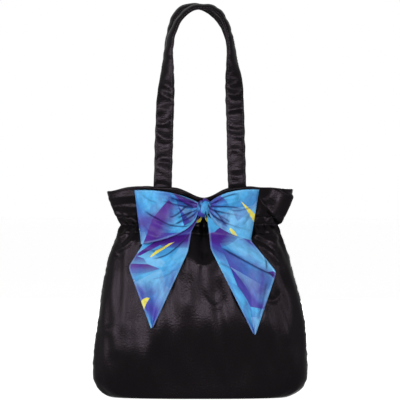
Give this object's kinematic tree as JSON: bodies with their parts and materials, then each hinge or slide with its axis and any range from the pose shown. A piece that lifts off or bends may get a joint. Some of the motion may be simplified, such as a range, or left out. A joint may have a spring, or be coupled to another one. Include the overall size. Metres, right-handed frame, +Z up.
{
  "type": "gathered shoulder bag",
  "caption": "Satin shoulder bag gathered at the neck under a flared ruffle, with sewn straps and a printed sash tied in a bow on the front.",
  "frame": {"origin": "on the floor under the middle of the base", "axes": "+Z up, +X to the viewer's right, front (the bow's side) towards -Y"},
  "size_m": [0.302, 0.0884, 0.5528],
  "materials": {
    "satin": "black satin with a soft sheen",
    "lining": "plain black lining cloth",
    "interlining": "dark felted interlining",
    "board": "grey stiffener sheet",
    "printed_satin": "satin printed in blues and violet with small yellow patches"
  },
  "bodies": {
    "bag": {"front_panel": "satin", "back_panel": "satin", "base_panel": "satin", "base_board": "board", "front_lining": "lining", "back_lining": "lining", "base_lining": "lining", "front_casing": "lining", "back_casing": "lining", "sash_band": "printed_satin", "left_sash_lead": "printed_satin", "right_sash_lead": "printed_satin", "front_ruffle": "satin", "front_facing": "satin", "front_left_strap_end": "satin", "front_right_strap_end": "satin", "bow_knot": "printed_satin", "left_tail_root": "printed_satin", "right_tail_root": "printed_satin"},
    "back_rim": {"back_ruffle": "satin", "back_facing": "satin", "back_left_strap_end": "satin", "back_right_strap_end": "satin"},
    "front_strap": {"front_strap_cover": "satin", "front_strap_core": "interlining"},
    "back_strap": {"back_strap_cover": "satin", "back_strap_core": "interlining"},
    "left_loop": {"left_bow_loop": "printed_satin"},
    "right_loop": {"right_bow_loop": "printed_satin"},
    "left_tail": {"left_bow_tail": "printed_satin"},
    "right_tail": {"right_bow_tail": "printed_satin"}
  },
  "joints": [
    {"name": "front_strap_swing", "type": "hinge", "parent": "bag", "child": "front_strap", "pos_m": [0, -0.02559, 0.2939], "axis": [1, 0, 0], "range_deg": [-3, 90], "stiffness_Nm_per_rad": 0.027, "springref_deg": 0.01},
    {"name": "back_rim_open", "type": "hinge", "parent": "bag", "child": "back_rim", "pos_m": [0, 0.0239, 0.25315], "axis": [-1, 0, 0], "range_deg": [0, 25]},
    {"name": "back_strap_swing", "type": "hinge", "parent": "back_rim", "child": "back_strap", "pos_m": [0, 0.02559, 0.2939], "axis": [-1, 0, 0], "range_deg": [-3, 95], "stiffness_Nm_per_rad": 0.028, "springref_deg": -0.01},
    {"name": "left_loop_turn", "type": "hinge", "parent": "bag", "child": "left_loop", "pos_m": [-0.0059, -0.0413, 0.265], "axis": [0, 0, 1], "range_deg": [0, 55]},
    {"name": "right_loop_turn", "type": "hinge", "parent": "bag", "child": "right_loop", "pos_m": [0.0159, -0.0413, 0.265], "axis": [0, 0, -1], "range_deg": [0, 55]},
    {"name": "left_tail_lift", "type": "hinge", "parent": "bag", "child": "left_tail", "pos_m": [-0.012, -0.0291, 0.2325], "axis": [-0.9594, 0, -0.2822], "range_deg": [0, 65]},
    {"name": "right_tail_lift", "type": "hinge", "parent": "bag", "child": "right_tail", "pos_m": [0.0125, -0.0291, 0.2335], "axis": [-0.9672, 0, 0.2541], "range_deg": [0, 65]}
  ]
}
